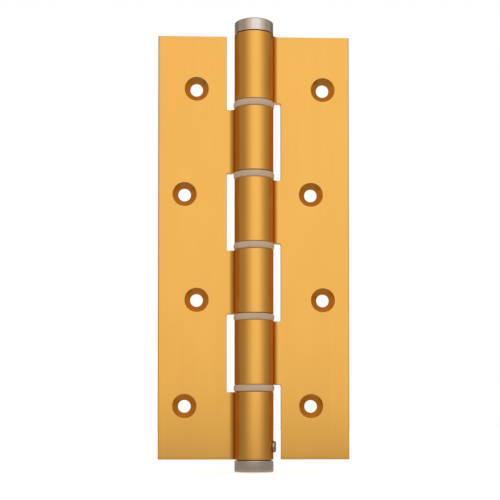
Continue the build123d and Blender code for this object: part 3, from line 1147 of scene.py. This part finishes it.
def stage_plate(name, centre, across, up, colour, glow=0.0):
    """A flat rectangle of the studio round centre, spanned by two half-side vectors in metres."""
    centre, across, up = (np.array(v, float) for v in (centre, across, up))
    points = [centre - across - up, centre + across - up, centre + across + up, centre - across + up]
    mesh = bpy.data.meshes.new(name)
    mesh.from_pydata([tuple(point) for point in points], [], [(0, 1, 2, 3)])
    plate_object = bpy.data.objects.new(name, mesh)
    scene.collection.objects.link(plate_object)
    material = bpy.data.materials.new(name)
    material.use_nodes = True
    plate_shader = material.node_tree.nodes["Principled BSDF"]
    plate_shader.inputs["Base Color"].default_value = (*colour, 1)
    plate_shader.inputs["Roughness"].default_value = 0.9
    plate_shader.inputs["Specular IOR Level"].default_value = 0.1
    if glow:
        plate_tree = material.node_tree
        light_path = plate_tree.nodes.new("ShaderNodeLightPath")
        plate_shader.inputs["Emission Color"].default_value = (1, 1, 1, 1)
        shown = math_node(plate_tree, "ADD", light_path.outputs["Is Camera Ray"],
                          light_path.outputs["Is Glossy Ray"])
        shown = math_node(plate_tree, "ADD", shown, light_path.outputs["Is Transmission Ray"], clamp=True)
        strength = math_node(plate_tree, "MULTIPLY", shown, glow)
        connect(plate_tree, (strength, plate_shader.inputs["Emission Strength"]))
    mesh.materials.append(material)
    plate_object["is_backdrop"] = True
    return plate_object


ground = cad_low.z
stage_plate("floor", (0, 0, ground), (4, 0, 0), (0, 4, 0), (0.86, 0.86, 0.86), glow=0.55)


def side_card(name, first, last, profile, near, deep, shift):
    """A curved card round the hinge that only reflections show, from near's colour to deep's, by its angle.

    Angles are degrees round the pivot axis from the camera's side, positive to the right. The
    profile is (distance, height) pairs: x is the distance times sine, y is minus cosine."""
    turn = np.radians(np.linspace(first, last, 33))[None, :]
    distance, height = np.array(profile)[:, :1], np.array(profile)[:, 1:]
    points, faces, _ = patch(place(distance * np.sin(turn), -distance * np.cos(turn), height + 0 * turn))
    mesh = bpy.data.meshes.new(name)
    mesh.from_pydata(points.tolist(), [], faces)
    card = bpy.data.objects.new(name, mesh)
    scene.collection.objects.link(card)
    material = bpy.data.materials.new(name)
    material.use_nodes = True
    card_tree = material.node_tree
    card_tree.nodes.clear()
    coordinates = card_tree.nodes.new("ShaderNodeTexCoord")
    split = card_tree.nodes.new("ShaderNodeSeparateXYZ")
    connect(card_tree, (coordinates.outputs["Object"], split.inputs[0]))
    angle = math_node(card_tree, "ARCTAN2", split.outputs["X"],
                      math_node(card_tree, "MULTIPLY", split.outputs["Y"], -1.0))
    blend = card_tree.nodes.new("ShaderNodeMapRange")
    blend.interpolation_type = "SMOOTHSTEP"
    blend.inputs["From Min"].default_value = math.radians(first)
    blend.inputs["From Max"].default_value = math.radians(first + shift)
    glow = card_tree.nodes.new("ShaderNodeEmission")
    card_out = card_tree.nodes.new("ShaderNodeOutputMaterial")
    connect(card_tree, (angle, blend.inputs["Value"]), (glow.outputs[0], card_out.inputs["Surface"]),
            (mixed_colour(card_tree, blend.outputs[0], near, deep), glow.inputs["Color"]))
    mesh.materials.append(material)
    card.visible_camera = card.visible_diffuse = card.visible_shadow = False
    card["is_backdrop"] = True


# Colours of the surroundings, as light
FRONT = (1.0, 0.98, 1.0)
PALE = (0.845, 0.735, 0.65)
FLOOR_FRONT = (0.725, 0.63, 0.555)
HIGH = (0.55, 0.48, 0.42)
ROOF = (0.505, 0.44, 0.39)
FLOOR_RIGHT = (0.49, 0.425, 0.375)
MIDDLE = (0.39, 0.325, 0.27)
# The next two colours are painted shade: they darken the floor round the hinge, as reflections see it.
FOOT_SHADE = (0.385, 0.335, 0.295)
NEAR_FLOOR_SHADE = (0.315, 0.275, 0.24)
DARK = (0.22, 0.19, 0.165)
DIM = (0.16, 0.135, 0.115)
# Their measures in metres: distances from the pivot axis, and heights
WALL_AWAY = 0.62
WALL_TOP = 0.5
BACK_STEP = 0.36
SLOPE_END = (0.2, 0.75)
SHADE_RING_EDGE = 0.2
FOOT_EDGE = 0.03
on_floor = ground + 0.0005
wall = [(WALL_AWAY, on_floor), (WALL_AWAY, WALL_TOP), SLOPE_END]
low_wall = [(WALL_AWAY, on_floor), (WALL_AWAY, BACK_STEP)]
high_wall = [(WALL_AWAY, BACK_STEP), (WALL_AWAY, WALL_TOP), SLOPE_END]
apron = [(SHADE_RING_EDGE, on_floor), (WALL_AWAY, on_floor)]
roof = [(0.0, 0.8), (0.42, 0.7)]
# Two floor discs round the hinge carry that painted shade.
foot = [(0.0, on_floor), (FOOT_EDGE, on_floor)]
shade_ring = [(FOOT_EDGE, on_floor), (SHADE_RING_EDGE, on_floor)]
# Name, first and last angle, profile, colour at the first angle, the next colour, and the
# degrees over which one turns into the other
surroundings = [
    ("card_front", -15, 34, wall, FRONT, FRONT, 1.0),
    ("card_left", -15, -95, wall, PALE, MIDDLE, -50),
    ("card_left_back", -95, -160, low_wall, MIDDLE, DARK, -20),
    ("card_left_high", -95, -160, high_wall, MIDDLE, HIGH, -20),
    ("card_right", 34, 100, wall, PALE, MIDDLE, 48),
    ("card_right_back", 100, 160, low_wall, MIDDLE, DARK, 20),
    ("card_right_high", 100, 160, high_wall, MIDDLE, HIGH, 20),
    ("card_floor_front", -15, 34, apron, FLOOR_FRONT, FLOOR_FRONT, 1.0),
    ("card_floor_left", -15, -120, apron, PALE, DIM, -70),
    ("card_floor_right", 34, 120, apron, FLOOR_RIGHT, DIM, 40),
    ("card_roof", -180, 180, roof, ROOF, ROOF, 1.0),
    # Painted shade of the floor round the hinge, seen only in reflections
    ("card_foot_shade", -180, 180, foot, FOOT_SHADE, FOOT_SHADE, 1.0),
    ("card_near_floor_shade", -180, 180, shade_ring, NEAR_FLOOR_SHADE, NEAR_FLOOR_SHADE, 1.0),
]
for card_values in surroundings:
    side_card(*card_values)


def lamp(name, place_at, towards, size, power):
    """A square soft lamp that looks from one point to another."""
    data = bpy.data.lights.new(name, "AREA")
    data.size = size
    data.energy = power
    lamp_object = bpy.data.objects.new(name, data)
    lamp_object.location = place_at
    lamp_object.rotation_euler = (Vector(towards) - Vector(place_at)).to_track_quat("-Z", "Y").to_euler()
    scene.collection.objects.link(lamp_object)
    return lamp_object


lamp("softbox_above", (0.05, -1.0, 0.45), (0, 0, 0), 0.8, 1.0)
print("studio: floor at", round(ground / MM, 1), "mm")

# %% [markdown]
# ## Finish
#
# The last lines print the box round the dressed hinge in millimetres.

# %% Write the sizes and finish
low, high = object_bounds()
print("visual box in mm:", [round(value / MM, 2) for value in (*low, *high)])
